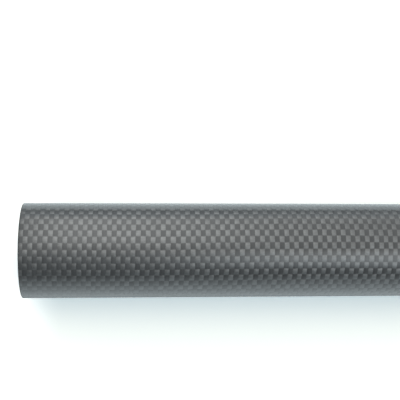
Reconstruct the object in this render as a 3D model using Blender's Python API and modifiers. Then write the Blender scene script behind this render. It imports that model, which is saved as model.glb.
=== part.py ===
"""Carbon fibre tube: one length of round, thin-walled tube, cut square at both ends.

The tube stands on one end. Its axis is Z, +Z is up, and the origin is the middle of its foot.
All sizes are in metres.
"""

import math

import bpy

# Driving dimensions
LENGTH = 0.500              # the cut length
OUTER_DIAMETER = 0.030
WALL = 0.001
OUTER_EDGE_RADIUS = 0.0003  # the saw cut's outer edge, broken by sanding
BORE_EDGE_RADIUS = 0.0002   # the same at the mouth of the bore

# Mesh fineness
FACETS_AROUND = 96
EDGE_FACETS = 3             # facets across each rounded edge
SHARPEST_SMOOTH_ANGLE = math.radians(35)

# Woven carbon under a matt resin
CARBON_COLOUR = (0.075, 0.078, 0.078, 1.0)
CARBON_ROUGHNESS = 0.42
CARBON_METALLIC = 0.0

OBJECT_NAME = "carbon_fibre_tube"


def clear_scene():
    for old in list(bpy.data.objects):
        bpy.data.objects.remove(old, do_unlink=True)


def new_collection(name):
    collection = bpy.data.collections.new(name)
    bpy.context.scene.collection.children.link(collection)
    return collection


def carbon_material():
    material = bpy.data.materials.new("woven_carbon")
    material.use_nodes = True
    shader = material.node_tree.nodes["Principled BSDF"]
    shader.inputs["Base Color"].default_value = CARBON_COLOUR
    shader.inputs["Roughness"].default_value = CARBON_ROUGHNESS
    shader.inputs["Metallic"].default_value = CARBON_METALLIC
    material.diffuse_color = CARBON_COLOUR
    return material


def quarter_arc(centre_radius, centre_height, radius, start_angle):
    """Points of a quarter circle, clockwise from start_angle, as (radius, height)."""
    points = []
    for step in range(EDGE_FACETS + 1):
        angle = start_angle - math.pi / 2 * step / EDGE_FACETS
        points.append((centre_radius + radius * math.cos(angle),
                       centre_height + radius * math.sin(angle)))
    return points


def wall_section():
    """The wall cut lengthwise: down its outer side from the top, then back up the bore."""
    outer_radius = OUTER_DIAMETER / 2
    bore_radius = outer_radius - WALL
    outer_edge = min(OUTER_EDGE_RADIUS, WALL / 3)
    bore_edge = min(BORE_EDGE_RADIUS, WALL / 3)

    top_outer = quarter_arc(outer_radius - outer_edge, LENGTH - outer_edge,
                            outer_edge, math.pi / 2)
    foot_outer = quarter_arc(outer_radius - outer_edge, outer_edge,
                             outer_edge, 0.0)
    foot_bore = quarter_arc(bore_radius + bore_edge, bore_edge,
                            bore_edge, -math.pi / 2)
    top_bore = quarter_arc(bore_radius + bore_edge, LENGTH - bore_edge,
                           bore_edge, math.pi)
    return top_outer + foot_outer + foot_bore + top_bore


def turned_object(name, section, collection):
    """A closed section in the XZ plane, turned about Z by a Screw modifier."""
    points = [(radius, 0.0, height) for radius, height in section]
    edges = [(i, (i + 1) % len(points)) for i in range(len(points))]
    mesh = bpy.data.meshes.new(name)
    mesh.from_pydata(points, edges, [])

    turned = bpy.data.objects.new(name, mesh)
    collection.objects.link(turned)
    screw = turned.modifiers.new("turn", "SCREW")
    screw.axis = "Z"
    screw.steps = FACETS_AROUND
    screw.render_steps = FACETS_AROUND
    screw.use_merge_vertices = True
    screw.merge_threshold = 0.000001
    screw.use_smooth_shade = True
    return turned


def keep_ends_crisp(turned):
    """Make the turned shape a mesh of its own, smooth round the wall and crisp at its edges."""
    depsgraph = bpy.context.evaluated_depsgraph_get()
    mesh = bpy.data.meshes.new_from_object(turned.evaluated_get(depsgraph))
    turned.modifiers.clear()
    turned.data = mesh
    mesh.shade_smooth()
    mesh.set_sharp_from_angle(angle=SHARPEST_SMOOTH_ANGLE)


def make_tube(collection):
    tube = turned_object("tube", wall_section(), collection)
    keep_ends_crisp(tube)
    tube.data.materials.append(carbon_material())
    return tube


def main():
    clear_scene()
    collection = new_collection(OBJECT_NAME)
    make_tube(collection)
    bpy.context.view_layer.update()


main()
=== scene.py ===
"""Looks of a carbon fibre tube: the woven skin, the sawn ends and the bore, in a plain studio.

The tube stands on its foot. The photograph shows it lying on a pale surface, so the camera is
turned on its side to look at the top of the tube in the same way.
"""

import math

import bpy
import numpy as np
from mathutils import Matrix, Vector


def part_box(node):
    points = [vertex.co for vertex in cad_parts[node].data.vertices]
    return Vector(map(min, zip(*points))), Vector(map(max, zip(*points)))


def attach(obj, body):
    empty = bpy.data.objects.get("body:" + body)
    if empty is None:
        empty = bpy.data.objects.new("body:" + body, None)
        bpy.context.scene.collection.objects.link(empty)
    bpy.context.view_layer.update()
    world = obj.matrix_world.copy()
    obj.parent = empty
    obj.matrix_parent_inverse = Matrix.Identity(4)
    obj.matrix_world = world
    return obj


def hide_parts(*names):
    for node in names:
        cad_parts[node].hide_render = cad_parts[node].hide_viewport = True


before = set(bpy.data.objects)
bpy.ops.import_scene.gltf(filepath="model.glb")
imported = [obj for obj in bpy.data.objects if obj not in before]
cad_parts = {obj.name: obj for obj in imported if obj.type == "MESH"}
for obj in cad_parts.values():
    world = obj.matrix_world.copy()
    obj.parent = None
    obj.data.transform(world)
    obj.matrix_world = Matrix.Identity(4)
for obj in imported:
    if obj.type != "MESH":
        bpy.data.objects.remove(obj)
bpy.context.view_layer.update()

MM = 0.001

# The CAD tube's own sizes
tube_low, tube_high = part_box("tube")
FOOT_Z = tube_low.z
TOP_Z = tube_high.z
LENGTH = TOP_Z - FOOT_Z
OUTER_RADIUS = (tube_high.x - tube_low.x) / 2
WALL = 1.0 * MM
BORE_RADIUS = OUTER_RADIUS - WALL
OUTER_EDGE_RADIUS = 0.3 * MM
BORE_EDGE_RADIUS = 0.2 * MM

# The cloth: plain weave, one tow over and one under
TOWS_AROUND = 46                # tows that run along the tube
TOWS_ALONG = 336                # tows that run round it
FIRST_TOW = -0.035              # the saw cut the first round tow off here
CLOTH_TURN = 0.052              # where a tow's edge lies, in radians from the side in front
REPEATS = 4                     # the cloth's unevenness repeats this many times along the tube
SWAY = (-0.08, -1.5)            # the lengthwise tows': its size in tows, and where its wave starts
WANDER = (                      # the round tows': waves in a repeat, size in tows, and start
    (1, 0.26, 0.0),
    (2, 0.04, -2.6),
    (4, 0.04, 0.7),
)
BOW_TO_SIDE = 0.20              # how far the round tows bow to one side of the tube, in tows
BOW_TO_BACK = 0.30              # and to its back

# Mesh fineness
COLUMNS = 96
SKIN_STEPS = 84                 # rings along each repeat of the cloth
EDGE_STEPS = 4                  # rings across each rounded edge
FACE_STEPS = 3                  # rings on a sawn face
BORE_STEPS = 12                 # rings along the bore
BORE_SECTORS = 4                # times that the bore's pattern repeats round it
SHARPEST_SMOOTH_ANGLE = math.radians(40)

# The bake map: the share of its width, and of its height, that each surface takes
SKIN, SAWN, BORE = 0, 1, 2
MAP_WIDTH = (0.010, 0.990)
MAP_SKIN = (0.010, 0.750)
MAP_TOP_CUT = (0.765, 0.790)
MAP_FOOT_CUT = (0.800, 0.825)
MAP_BORE = (0.840, 0.990)

# Looks of the skin. The lengthwise tows shine as metal does, and the round ones don't.
LENGTH_TOW_COLOUR = (0.234, 0.238, 0.239, 1.0)
ROUND_TOW_COLOUR = (0.087, 0.090, 0.092, 1.0)
TOW_ROUGHNESS = 0.42
TOW_ANISOTROPY = 0.78
TOW_EDGE_TINT = (0.4, 0.4, 0.4, 1.0)    # a tow's shine is weaker at a glancing angle
COAT_ROUGHNESS = 0.10
COAT_IOR = 1.68
CRIMP = 0.16 * MM               # how far a tow's sides lie below its middle
DIVE = 0.20                     # how far it dips to the ends of a crossing, as a share of that
SOFT_EDGE = 0.10                # how softly one tow gives way to the next, in tows
SPREAD = 0.03                   # how far the lengthwise tows spread over the round ones, in tows

# How unevenly the tows' edges run
EDGE_WANDER = 0.30              # in tows
EDGE_GRAIN_ROUND = 4.4          # how fine it is round the tube
EDGE_GRAIN_ALONG = 8.0          # and along a repeat
EDGE_SEED = 20.0                # sets the round tows' edges apart from the lengthwise ones'

# How a crossing's tone varies
SIDE_HEIGHT = 0.42              # a tow darkens below this share of its arch across
END_HEIGHT = 0.32               # and of its arch along
EDGE_TONE = 0.80                # its tone right at its edge
STREAK_GRAIN = (9.0, 0.9)       # how fine the filaments' streaks are, across and along a tow
STREAK_SEEDS = (31.7, 5.3, 9.1)  # set each tow, each crossing and the two kinds of tow apart
STREAK_TONE = 0.45
STREAK_ROUGHNESS = -0.10
STREAK_RELIEF = 0.05            # as a share of the crimp
TOW_TONE = 0.08
TOW_SEEDS = (3.0, 0.5)
SPOT_TONE = 0.20
SPOT_SEED = 7.5

# Looks of the sawn ends
SAWN_COLOUR = (0.090, 0.092, 0.095, 1.0)
SAWN_ROUGHNESS = 0.58
PLY = 0.22 * MM
PLY_WAVE = 0.5                  # how far the plies wander, in plies
PLY_WAVE_GRAIN = 400.0
PLY_GAP = 0.45                  # how wide the dark line between two plies is
PLY_GAP_TONE = 0.6
SAWN_GRAIN = 5200.0
SAWN_GRAIN_TONE = 0.7
SAW_MARK_GRAIN = (9000.0, 500.0)    # across and along the saw's strokes
SAW_MARK_SEED = 0.3
SAW_MARK_TONE = 0.5
SAW_MARK_ROUGHNESS = 0.2
SPECK_GRAIN = 2600.0
SPECK_RANGE = (0.62, 0.74)
SPECK_TONE = 0.5
SAWN_RELIEF = 0.02 * MM
SAWN_RELIEF_STRENGTH = 0.5
SAW_MARK_SHARE, PLY_SHARE = 0.7, 0.3    # of that relief

# Looks of the bore
BORE_COLOUR = (0.058, 0.060, 0.063, 1.0)
BORE_ROUGHNESS = 0.38
FILAMENT_GRAIN = (9.0, 0.8)     # round and along the bore
FILAMENT_TONE = 0.9
PATCH_GRAIN = (1.2, 2.0)
PATCH_TONE = 0.4
PATCH_ROUGHNESS = 0.25
BORE_RELIEF = 0.02 * MM
BORE_RELIEF_STRENGTH = 0.3

# The studio's light by its direction round the tube: (degrees, level, colour). 0 degrees faces
# the camera's side, 90 is at the bottom of the picture and -90 at its top.
WINDOW_HUE = (0.98, 1.00, 0.99)
DUSK_HUE = (0.93, 1.00, 1.03)
ROOM_HUE = (0.90, 1.00, 1.06)
TABLE_HUE = (0.88, 1.00, 1.04)
SURROUNDINGS = (
    (-180, 0.34, TABLE_HUE),
    (-155, 0.66, TABLE_HUE),
    (-130, 0.95, TABLE_HUE),
    (-104, 0.82, TABLE_HUE),
    (-92, 0.19, ROOM_HUE),
    (-78, 0.61, ROOM_HUE),
    (-55, 1.62, WINDOW_HUE),
    (-5, 1.62, WINDOW_HUE),
    (18, 0.76, WINDOW_HUE),
    (40, 0.42, DUSK_HUE),
    (60, 0.21, ROOM_HUE),
    (84, 0.10, ROOM_HUE),
    (100, 0.46, TABLE_HUE),
    (125, 0.81, TABLE_HUE),
    (145, 0.86, TABLE_HUE),
    (162, 0.72, TABLE_HUE),
    (180, 0.34, TABLE_HUE),
)
BRIGHTEST = 1.62                # the ramp holds levels as shares of this

# The changes of that level along the tube, each where its light rises and falls, in degrees. A
# direction's pitch is its part along the tube: below 0 it points out past the end that shows, and
# above 0 down the tube.
OVERHEAD = ((-80, -50), (0, 30))
IN_FRONT = ((18, 44), (80, 110))
LOW_IN_FRONT = ((16, 46), (57, 67))
CHANGES = (                     # directions, two pitches, and the change below and above them
    (OVERHEAD, (-0.130, -0.076), -0.52, 0.0),
    (OVERHEAD, (-0.36, -0.14), -0.16, 0.0),
    (IN_FRONT, (-0.11, -0.04), -0.45, 0.0),
    (OVERHEAD, (-0.08, 0.28), 0.0, -0.60),
    (LOW_IN_FRONT, (-0.02, 0.26), 0.0, 3.3),
)


def cloth_place(turn, down):
    """Tow numbers round and along the tube, at a turn from the side in front and a depth.

    The tows sway and wander a little, and the same way in every repeat. The round ones also bow.
    """
    wave = 2 * math.pi * REPEATS * down / LENGTH
    sway = SWAY[0] * np.cos(wave + SWAY[1])
    around = TOWS_AROUND * (turn - CLOTH_TURN) / (2 * math.pi) + sway
    wander = sum(size * np.sin(waves * wave + start) for waves, size, start in WANDER)
    bow = BOW_TO_SIDE * np.sin(turn) - BOW_TO_BACK * np.cos(turn) + BOW_TO_BACK
    return around, FIRST_TOW + TOWS_ALONG * down / LENGTH + wander + bow


def within(limits, share):
    """The place at a share of the way from the lower to the higher limit."""
    return limits[0] + (limits[1] - limits[0]) * share


class TurnedMesh:
    """A closed turned mesh, made as bands between rings of points.

    A band's corners go from its first ring to its second, and it has two maps. The cloth map
    holds tow numbers on the skin and shares of the way elsewhere. The bake map lays surfaces
    that look alike on top of each other.
    """

    def __init__(self):
        self.shares = np.arange(COLUMNS + 1) / COLUMNS
        self.turns = 2 * math.pi * self.shares
        self.rings = []
        self.faces, self.cloth, self.bake, self.kinds = [], [], [], []

    def ring(self, radius, z):
        turns = self.turns[:-1]
        self.rings.append(np.stack((-radius * np.sin(turns), -radius * np.cos(turns),
                                    np.full(COLUMNS, z)), 1))
        return len(self.rings) - 1

    def band(self, first, second, kind, cloth_first, cloth_second, bake_x, bake_y):
        """Faces between two rings, seen from outside with the first ring above the second.

        The cloth values are pairs of arrays with a value at each column, the closing one
        included. bake_x and bake_y hold the four corners of every face.
        """
        left = np.arange(COLUMNS)
        right = (left + 1) % COLUMNS
        self.faces.append(np.stack((first * COLUMNS + left, first * COLUMNS + right,
                                    second * COLUMNS + right, second * COLUMNS + left), 1))
        maps = [np.stack(np.broadcast_arrays(above[:-1], above[1:], below[1:], below[:-1]), 1)
                for above, below in zip(cloth_first, cloth_second)]
        self.cloth.append(np.stack(maps, 2))
        self.bake.append(np.stack((bake_x, bake_y), 2))
        self.kinds.append(np.full(COLUMNS, kind))

    def corners_across(self, limits, sectors=1):
        """Bake map coordinates that run round the tube, for the four corners of every face."""
        turns = self.shares * sectors
        sector = np.floor((turns[:-1] + turns[1:]) / 2)
        left, right = within(limits, turns[:-1] - sector), within(limits, turns[1:] - sector)
        return np.stack((left, right, right, left), 1)

    def corners_along(self, limits, first_share, second_share):
        """Bake map coordinates that run from the first ring to the second."""
        first, second = within(limits, first_share), within(limits, second_share)
        return np.broadcast_to((first, first, second, second), (COLUMNS, 4))

    def skin_band(self, first, second, down_first, down_second):
        length = LENGTH / REPEATS
        start = math.floor((down_first + down_second) / 2 / length) * length
        self.band(first, second, SKIN,
                  cloth_place(self.turns, down_first), cloth_place(self.turns, down_second),
                  self.corners_along(MAP_WIDTH, (down_first - start) / length,
                                     (down_second - start) / length),
                  self.corners_across(MAP_SKIN))

    def cut_band(self, first, second, limits, first_share, second_share):
        self.band(first, second, SAWN,
                  (self.shares, np.full(COLUMNS + 1, first_share)),
                  (self.shares, np.full(COLUMNS + 1, second_share)),
                  self.corners_across(MAP_WIDTH),
                  self.corners_along(limits, first_share, second_share))

    def bore_band(self, first, second, first_share, second_share):
        start = math.floor((first_share + second_share) / 2 * REPEATS)
        self.band(first, second, BORE,
                  (self.shares, np.full(COLUMNS + 1, first_share)),
                  (self.shares, np.full(COLUMNS + 1, second_share)),
                  self.corners_along(MAP_WIDTH, first_share * REPEATS - start,
                                     second_share * REPEATS - start),
                  self.corners_across(MAP_BORE, BORE_SECTORS))


def cut_profile():
    """Radius and depth below the end plane of each ring of a sawn end, from the skin inwards."""
    places = []
    for step in range(EDGE_STEPS + 1):
        angle = math.pi / 2 * step / EDGE_STEPS
        places.append((OUTER_RADIUS - OUTER_EDGE_RADIUS * (1 - math.cos(angle)),
                       OUTER_EDGE_RADIUS * (1 - math.sin(angle))))
    outer, inner = OUTER_RADIUS - OUTER_EDGE_RADIUS, BORE_RADIUS + BORE_EDGE_RADIUS
    for step in range(1, FACE_STEPS):
        places.append((outer + (inner - outer) * step / FACE_STEPS, 0.0))
    for step in range(EDGE_STEPS + 1):
        angle = math.pi / 2 * step / EDGE_STEPS
        places.append((inner - BORE_EDGE_RADIUS * math.sin(angle),
                       BORE_EDGE_RADIUS * (1 - math.cos(angle))))
    return places


def build_rings():
    turned = TurnedMesh()

    # The skin, from the top down
    downs = np.arange(REPEATS * SKIN_STEPS + 1) * LENGTH / (REPEATS * SKIN_STEPS)
    downs[0], downs[-1] = OUTER_EDGE_RADIUS, LENGTH - OUTER_EDGE_RADIUS
    for number, down in enumerate(downs):
        turned.ring(OUTER_RADIUS, TOP_Z - down)
        if number:
            turned.skin_band(number - 1, number, downs[number - 1], down)
    last = len(downs) - 1

    # The foot's cut, inwards
    places = cut_profile()
    steps = len(places) - 1
    for number in range(1, steps + 1):
        radius, inset = places[number]
        new = turned.ring(radius, FOOT_Z + inset)
        turned.cut_band(last, new, MAP_FOOT_CUT, (number - 1) / steps, number / steps)
        last = new

    # The bore, upwards
    bore_low, bore_high = FOOT_Z + BORE_EDGE_RADIUS, TOP_Z - BORE_EDGE_RADIUS
    for number in range(1, BORE_STEPS + 1):
        new = turned.ring(BORE_RADIUS, within((bore_low, bore_high), number / BORE_STEPS))
        turned.bore_band(last, new, (number - 1) / BORE_STEPS, number / BORE_STEPS)
        last = new

    # The top's cut, outwards, closing on the skin's first ring
    for number in range(1, steps + 1):
        radius, inset = places[steps - number]
        new = 0 if number == steps else turned.ring(radius, TOP_Z - inset)
        turned.cut_band(last, new, MAP_TOP_CUT, (number - 1) / steps, number / steps)
        last = new
    return turned


def make_mesh():
    turned = build_rings()
    mesh = bpy.data.meshes.new("woven_tube")
    mesh.from_pydata(np.concatenate(turned.rings).tolist(), [],
                     np.concatenate(turned.faces).tolist())
    for name, corners in (("Cloth", turned.cloth), ("OFBake", turned.bake)):
        layer = mesh.uv_layers.new(name=name)
        layer.data.foreach_set("uv", np.concatenate(corners).reshape(-1).astype(np.float32))
    mesh.polygons.foreach_set("material_index", np.concatenate(turned.kinds).astype(np.int32))
    mesh.update()
    mesh.shade_smooth()
    mesh.set_sharp_from_angle(angle=SHARPEST_SMOOTH_ANGLE)
    return mesh


# Node trees

class Graph:
    """A short hand for building a node tree."""

    def __init__(self, tree):
        self.tree = tree

    def node(self, kind, **settings):
        node = self.tree.nodes.new("ShaderNode" + kind)
        for key, value in settings.items():
            setattr(node, key, value)
        return node

    def put(self, socket, value):
        if isinstance(value, bpy.types.NodeSocket):
            self.tree.links.new(value, socket)
        else:
            socket.default_value = value

    def math(self, operation, *values):
        node = self.node("Math", operation=operation)
        for socket, value in zip(node.inputs, values):
            self.put(socket, value)
        return node.outputs[0]

    def add(self, *values):
        total = values[0]
        for value in values[1:]:
            total = self.math("ADD", total, value)
        return total

    def times(self, *values):
        product = values[0]
        for value in values[1:]:
            product = self.math("MULTIPLY", product, value)
        return product

    def mix(self, factor, a, b):
        """a where factor is 0, b where it is 1; for numbers."""
        node = self.node("Mix", data_type="FLOAT")
        self.put(node.inputs[0], factor)
        self.put(node.inputs[2], a)
        self.put(node.inputs[3], b)
        return node.outputs[0]

    def mix_vector(self, factor, a, b):
        node = self.node("Mix", data_type="VECTOR")
        self.put(node.inputs[0], factor)
        self.put(node.inputs[4], a)
        self.put(node.inputs[5], b)
        return node.outputs[1]

    def mix_colour(self, factor, a, b, blend="MIX"):
        node = self.node("Mix", data_type="RGBA", blend_type=blend)
        self.put(node.inputs[0], factor)
        self.put(node.inputs[6], a)
        self.put(node.inputs[7], b)
        return node.outputs[2]

    def mix_shader(self, factor, a, b):
        node = self.node("MixShader")
        for socket, value in zip(node.inputs, (factor, a, b)):
            self.put(socket, value)
        return node.outputs[0]

    def shade(self, colour, tone):
        """The colour, times a tone of about 1."""
        grey = self.node("CombineColor")
        for socket in grey.inputs[:3]:
            self.put(socket, tone)
        return self.mix_colour(1.0, colour, grey.outputs[0], "MULTIPLY")

    def vector(self, x, y, z):
        node = self.node("CombineXYZ")
        for socket, value in zip(node.inputs, (x, y, z)):
            self.put(socket, value)
        return node.outputs[0]

    def split(self, vector):
        node = self.node("SeparateXYZ")
        self.put(node.inputs[0], vector)
        return node.outputs[0], node.outputs[1], node.outputs[2]

    def cloth(self):
        """The two coordinates of the cloth map."""
        return self.split(self.node("UVMap", uv_map="Cloth").outputs["UV"])[:2]

    def circle(self, angle, radii):
        """A cosine and a sine of the angle, so that what they give a noise closes on itself."""
        return (self.times(self.math("COSINE", angle), radii[0]),
                self.times(self.math("SINE", angle), radii[1]))

    def ease(self, value, start, end):
        """0 below start, 1 above end, and smooth between."""
        node = self.node("MapRange", interpolation_type="SMOOTHSTEP")
        self.put(node.inputs["Value"], value)
        self.put(node.inputs["From Min"], start)
        self.put(node.inputs["From Max"], end)
        return node.outputs[0]

    def hump(self, value, rise, fall):
        """0, then 1 from the end of the rise to the start of the fall, then 0 again."""
        fallen = self.ease(value, *fall)
        return self.times(self.ease(value, *rise), self.math("SUBTRACT", 1.0, fallen))

    def random(self, vector):
        node = self.node("TexWhiteNoise", noise_dimensions="3D")
        self.put(node.inputs["Vector"], vector)
        return node.outputs["Value"]

    def noise(self, vector, scale, detail, fourth=None):
        node = self.node("TexNoise", noise_dimensions="3D" if fourth is None else "4D")
        self.put(node.inputs["Vector"], vector)
        if fourth is not None:
            self.put(node.inputs["W"], fourth)
        node.inputs["Scale"].default_value = scale
        node.inputs["Detail"].default_value = detail
        return node.outputs["Fac"]

    def about_zero(self, value, size):
        """A 0 to 1 value as one from -size/2 to size/2."""
        return self.times(self.math("SUBTRACT", value, 0.5), size)

    def bump(self, strength, distance, height):
        node = self.node("Bump")
        node.inputs["Strength"].default_value = strength
        node.inputs["Distance"].default_value = distance
        self.put(node.inputs["Height"], height)
        return node.outputs[0]


def new_material(name):
    material = bpy.data.materials.new(name)
    material.use_nodes = True
    return material, Graph(material.node_tree), material.node_tree.nodes["Principled BSDF"]


def skin_material():
    """Plain weave under a thin matt resin. Each cell of the cloth shows the tow on top there."""
    material, g, shader = new_material("woven_carbon_skin")
    u, v = g.cloth()

    # The tows' edges are a little uneven, the same way in every repeat and round every turn
    turn = g.times(u, 2 * math.pi / TOWS_AROUND)
    run = g.times(v, 2 * math.pi * REPEATS / TOWS_ALONG)
    spot = (g.circle(turn, (EDGE_GRAIN_ROUND, EDGE_GRAIN_ROUND))
            + g.circle(run, (EDGE_GRAIN_ALONG, EDGE_GRAIN_ALONG)))
    u_shift = g.noise(g.vector(*spot[:3]), 1.0, 1.0, spot[3])
    v_shift = g.noise(g.vector(*spot[1:]), 1.0, 1.0, g.add(spot[0], EDGE_SEED))
    u = g.add(u, g.about_zero(u_shift, EDGE_WANDER))
    v = g.add(v, g.about_zero(v_shift, EDGE_WANDER))

    u_in, v_in = g.math("FRACT", u), g.math("FRACT", v)
    u_tow = g.math("FLOORED_MODULO", g.math("FLOOR", u), float(TOWS_AROUND))
    v_tow = g.math("FLOORED_MODULO", g.math("FLOOR", v), float(TOWS_ALONG // REPEATS))
    # 1 where a tow along the tube lies on top, 0 where one round it does
    lengthwise = g.math("FLOORED_MODULO", g.add(u_tow, v_tow), 2.0)
    to_edge = g.math("MINIMUM", g.math("PINGPONG", u, 0.5), g.math("PINGPONG", v, 0.5))
    blended = g.ease(g.times(to_edge, g.mix(lengthwise, -1.0, 1.0)),
                     -SPREAD - SOFT_EDGE, -SPREAD + SOFT_EDGE)

    across = g.mix(lengthwise, v_in, u_in)
    along = g.mix(lengthwise, u_in, v_in)
    tow = g.mix(lengthwise, v_tow, u_tow)
    crossing = g.mix(lengthwise, u_tow, v_tow)

    # A crossing is rounded across its tow and dives at both ends
    across_arch = g.math("SINE", g.times(across, math.pi))
    along_arch = g.math("SINE", g.times(along, math.pi))
    body = g.times(g.ease(across_arch, 0.0, SIDE_HEIGHT), g.ease(along_arch, 0.0, END_HEIGHT))

    streak_place = (g.add(g.times(across, STREAK_GRAIN[0]), g.times(tow, STREAK_SEEDS[0])),
                    g.add(g.times(along, STREAK_GRAIN[1]), g.times(crossing, STREAK_SEEDS[1])),
                    g.times(lengthwise, STREAK_SEEDS[2]))
    streaks = g.noise(g.vector(*streak_place), 1.0, 2.0)
    tow_tone = g.random(g.vector(tow, g.times(lengthwise, TOW_SEEDS[0]), TOW_SEEDS[1]))
    spot_tone = g.random(g.vector(u_tow, v_tow, SPOT_SEED))
    tone = g.add(1.0, g.about_zero(streaks, STREAK_TONE), g.about_zero(tow_tone, TOW_TONE),
                 g.about_zero(spot_tone, SPOT_TONE))
    tone = g.times(tone, g.mix(body, EDGE_TONE, 1.0))

    g.put(shader.inputs["Base Color"],
          g.shade(g.mix_colour(blended, ROUND_TOW_COLOUR, LENGTH_TOW_COLOUR), tone))
    g.put(shader.inputs["Metallic"], blended)
    g.put(shader.inputs["Roughness"], g.add(TOW_ROUGHNESS, g.about_zero(streaks, STREAK_ROUGHNESS)))
    shader.inputs["Specular Tint"].default_value = TOW_EDGE_TINT
    shader.inputs["Anisotropic"].default_value = TOW_ANISOTROPY
    round_way = g.node("Tangent", direction_type="RADIAL", axis="Z").outputs[0]
    g.put(shader.inputs["Tangent"], g.mix_vector(lengthwise, (0.0, 0.0, 1.0), round_way))
    shader.inputs["Coat Weight"].default_value = 1.0
    shader.inputs["Coat Roughness"].default_value = COAT_ROUGHNESS
    shader.inputs["Coat IOR"].default_value = COAT_IOR
    relief = g.add(g.times(along_arch, DIVE), across_arch, g.times(streaks, STREAK_RELIEF))
    g.put(shader.inputs["Normal"], g.bump(1.0, CRIMP, relief))
    return material


def sawn_material():
    """The sawn laminate: plies as fine rings, straight saw marks and open specks."""
    material, g, shader = new_material("sawn_laminate")
    place = g.node("TexCoord").outputs["Object"]
    x, y, _ = g.split(place)
    radius = g.math("SQRT", g.add(g.times(x, x), g.times(y, y)))
    ply = g.times(g.math("SUBTRACT", OUTER_RADIUS, radius), 1 / PLY)
    wave = g.times(g.noise(place, PLY_WAVE_GRAIN, 1.0), PLY_WAVE)
    line = g.math("ABSOLUTE", g.math("SINE", g.times(g.add(ply, wave), math.pi)))
    rings = g.ease(line, 0.0, PLY_GAP)
    grain = g.noise(place, SAWN_GRAIN, 2.0)
    saw = g.noise(g.vector(g.times(x, SAW_MARK_GRAIN[0]), g.times(y, SAW_MARK_GRAIN[1]),
                           SAW_MARK_SEED), 1.0, 2.0)
    specks = g.ease(g.noise(place, SPECK_GRAIN, 0.0), *SPECK_RANGE)
    tone = g.add(1.0, g.about_zero(grain, SAWN_GRAIN_TONE), g.about_zero(saw, SAW_MARK_TONE))
    tone = g.times(tone, g.mix(rings, PLY_GAP_TONE, 1.0), g.mix(specks, 1.0, SPECK_TONE))
    g.put(shader.inputs["Base Color"], g.shade(SAWN_COLOUR, tone))
    g.put(shader.inputs["Roughness"], g.add(SAWN_ROUGHNESS, g.about_zero(saw, SAW_MARK_ROUGHNESS)))
    relief = g.add(g.times(saw, SAW_MARK_SHARE), g.times(rings, PLY_SHARE))
    g.put(shader.inputs["Normal"], g.bump(SAWN_RELIEF_STRENGTH, SAWN_RELIEF, relief))
    return material


def bore_material():
    """The inner ply: filaments along the bore under a thin resin, with dull and glossy patches."""
    material, g, shader = new_material("bore_laminate")
    u, v = g.cloth()
    turn = g.times(u, 2 * math.pi * BORE_SECTORS)
    run = g.times(v, 2 * math.pi * REPEATS)

    def pattern(grain):
        """A noise that repeats round the bore and along it."""
        around_x, around_y = g.circle(turn, (grain[0], grain[0]))
        along_x, along_y = g.circle(run, (grain[1], grain[1]))
        return g.noise(g.vector(around_x, around_y, along_x), 1.0, 3.0, along_y)

    filaments = pattern(FILAMENT_GRAIN)
    patches = pattern(PATCH_GRAIN)
    tone = g.add(1.0, g.about_zero(filaments, FILAMENT_TONE), g.about_zero(patches, PATCH_TONE))
    g.put(shader.inputs["Base Color"], g.shade(BORE_COLOUR, tone))
    g.put(shader.inputs["Roughness"], g.add(BORE_ROUGHNESS, g.about_zero(patches, PATCH_ROUGHNESS)))
    g.put(shader.inputs["Normal"], g.bump(BORE_RELIEF_STRENGTH, BORE_RELIEF, filaments))
    return material


def make_tube():
    mesh = make_mesh()
    tube = bpy.data.objects.new("woven_tube", mesh)
    bpy.context.scene.collection.objects.link(tube)
    for material in (skin_material(), sawn_material(), bore_material()):
        mesh.materials.append(material)
    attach(tube, "root")
    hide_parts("tube")


# The studio, laid out as in the photograph: x runs along the tube from the end that shows,
# y up the picture along the surface that the tube lies on, and z away from that surface

PHOTO_TO_ROW = Matrix(((0, 1, 0, 0),
                       (0, 0, -1, 0),
                       (-1, 0, 0, TOP_Z),
                       (0, 0, 0, 1)))
CAMERA_PLACE = Vector((0.03286, -0.09124, 0.25874))
CAMERA_AIM = Vector((0.05646, 0.01746, 0.0))
CAMERA_ROLL = math.radians(0.18)
CAMERA_LENS = 77.0
SENSOR_WIDTH = 36.0
NEAREST_SEEN = 0.01
FLOOR_SIZE = 1.2
FLOOR_COLOUR = (0.86, 0.84, 0.83, 1.0)
FLOOR_ROUGHNESS = 0.9
FLOOR_LIFT = 0.64               # added where the camera sees the floor, so that it reads as white
BACKDROP_SIZE = 1.2
BACKDROP_GAP = 0.3 * MM
# The sheet is overexposed, as in the photograph, so its colour goes past 1
BACKDROP_COLOUR = (1.70, 1.51, 1.23, 1.0)
BACKDROP_LIFT = (0.105, 0.23, 0.34, 1.0)
# Painted light: the sheet glows brighter beside the end that shows, which pales the tube's shadow
# there
BACKDROP_PAINTED_END_LIGHT = (0.305, 0.43, 0.54, 1.0)    # beside the end that shows
PAINTED_LIGHT_FROM, PAINTED_LIGHT_TO = -12 * MM, 1 * MM   # from the tube's top
WHITE = (1.0, 1.0, 1.0, 1.0)


def camera_matrix():
    """The camera looks from its place at its aim, with the tube's length running to the right."""
    back = (CAMERA_PLACE - CAMERA_AIM).normalized()
    level = Vector((1, 0, 0))
    right = (level - level.dot(back) * back).normalized()
    up = back.cross(right)
    turn = Matrix((right, up, back)).transposed() @ Matrix.Rotation(CAMERA_ROLL, 3, "Z")
    return PHOTO_TO_ROW @ Matrix.Translation(CAMERA_PLACE) @ turn.to_4x4()


def make_camera():
    data = bpy.data.cameras.new("camera")
    data.lens = CAMERA_LENS
    data.sensor_width = SENSOR_WIDTH
    data.clip_start = NEAREST_SEEN
    camera = bpy.data.objects.new("camera", data)
    bpy.context.scene.collection.objects.link(camera)
    camera.matrix_world = camera_matrix()
    bpy.context.scene.camera = camera


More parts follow.
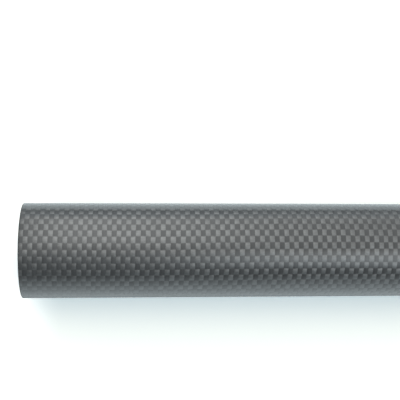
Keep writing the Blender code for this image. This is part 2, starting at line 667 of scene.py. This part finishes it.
def only_for_the_camera(sheet):
    """The sheet lights nothing, and nothing reflects it, so the tube looks alike at any height."""
    for ray in ("diffuse", "glossy", "transmission", "volume_scatter", "shadow"):
        setattr(sheet, "visible_" + ray, False)


def make_floor():
    bpy.ops.mesh.primitive_plane_add(size=FLOOR_SIZE, location=(0, 0, FOOT_Z))
    floor = bpy.context.object
    floor.name = "floor"
    only_for_the_camera(floor)
    material, g, shader = new_material("pale_floor")
    shader.inputs["Base Color"].default_value = FLOOR_COLOUR
    shader.inputs["Roughness"].default_value = FLOOR_ROUGHNESS
    shader.inputs["Specular IOR Level"].default_value = 0.0
    shader.inputs["Emission Color"].default_value = WHITE
    seen = g.node("LightPath").outputs["Is Camera Ray"]
    g.put(shader.inputs["Emission Strength"], g.times(seen, FLOOR_LIFT))
    floor.data.materials.append(material)


def make_backdrop():
    """A pale sheet that the tube touches along its back, seen from the tube's side alone.

    It shows the tube's soft shadow, which painted light beside the end that shows makes paler
    there.
    """
    bpy.ops.mesh.primitive_plane_add(size=BACKDROP_SIZE, rotation=(math.pi / 2, 0, 0),
                                     location=(0, OUTER_RADIUS + BACKDROP_GAP, BACKDROP_SIZE / 2))
    sheet = bpy.context.object
    sheet.name = "backdrop"
    only_for_the_camera(sheet)
    material, g, unused = new_material("pale_backdrop")
    g.tree.nodes.remove(unused)
    place = g.node("NewGeometry")
    height = g.split(place.outputs["Position"])[2]
    # Painted light: more glow beside the end that shows, paling the tube's shadow there
    painted_end_light = g.ease(height, TOP_Z + PAINTED_LIGHT_FROM, TOP_Z + PAINTED_LIGHT_TO)
    lit, glow, both = g.node("BsdfDiffuse"), g.node("Emission"), g.node("AddShader")
    lit.inputs["Color"].default_value = BACKDROP_COLOUR
    g.put(glow.inputs["Color"], g.mix_colour(painted_end_light, BACKDROP_LIFT, BACKDROP_PAINTED_END_LIGHT))
    g.put(both.inputs[0], lit.outputs[0])
    g.put(both.inputs[1], glow.outputs[0])
    sides = g.mix_shader(place.outputs["Backfacing"], both.outputs[0],
                         g.node("BsdfTransparent").outputs[0])
    g.put(g.tree.nodes["Material Output"].inputs["Surface"], sides)
    sheet.data.materials.append(material)


def make_world():
    world = bpy.data.worlds.new("studio")
    bpy.context.scene.world = world
    world.use_nodes = True
    g = Graph(world.node_tree)

    # x, y and z of the direction that is looked in
    x, y, z = g.split(g.node("TexCoord").outputs["Generated"])
    angle = g.times(g.math("ARCTAN2", g.times(x, -1.0), g.times(y, -1.0)), 180 / math.pi)
    ramp = g.node("ValToRGB")
    ramp.color_ramp.interpolation = "EASE"
    for number, (degrees, level, hue) in enumerate(SURROUNDINGS):
        stops = ramp.color_ramp.elements
        position = (degrees + 180) / 360
        if number < 2:
            stop = stops[number]
            stop.position = position
        else:
            stop = stops.new(position)
        stop.color = tuple(level / BRIGHTEST * part for part in hue) + (1.0,)
    g.put(ramp.inputs[0], g.add(0.5, g.times(angle, 1 / 360)))

    # The light falls off past the end that shows, and the window's also along the tube, where a
    # second light comes in low in front
    pitch = g.times(z, -1.0)
    changes = []
    for directions, pitches, below, above in CHANGES:
        change = g.mix(g.ease(pitch, *pitches), below, above)
        changes.append(g.times(g.hump(angle, *directions), change))
    studio = g.node("Background")
    g.put(studio.inputs["Color"], ramp.outputs["Color"])
    g.put(studio.inputs["Strength"], g.times(BRIGHTEST, g.add(1.0, *changes)))

    # The camera sees plain white behind the tube
    shown = g.tree.nodes["Background"]
    shown.inputs["Color"].default_value = WHITE
    shown.inputs["Strength"].default_value = 1.0
    seen = g.node("LightPath").outputs["Is Camera Ray"]
    g.put(g.tree.nodes["World Output"].inputs["Surface"],
          g.mix_shader(seen, studio.outputs[0], shown.outputs[0]))


make_tube()
make_floor()
make_backdrop()
make_world()
make_camera()

bpy.context.scene.view_settings.view_transform = "Standard"
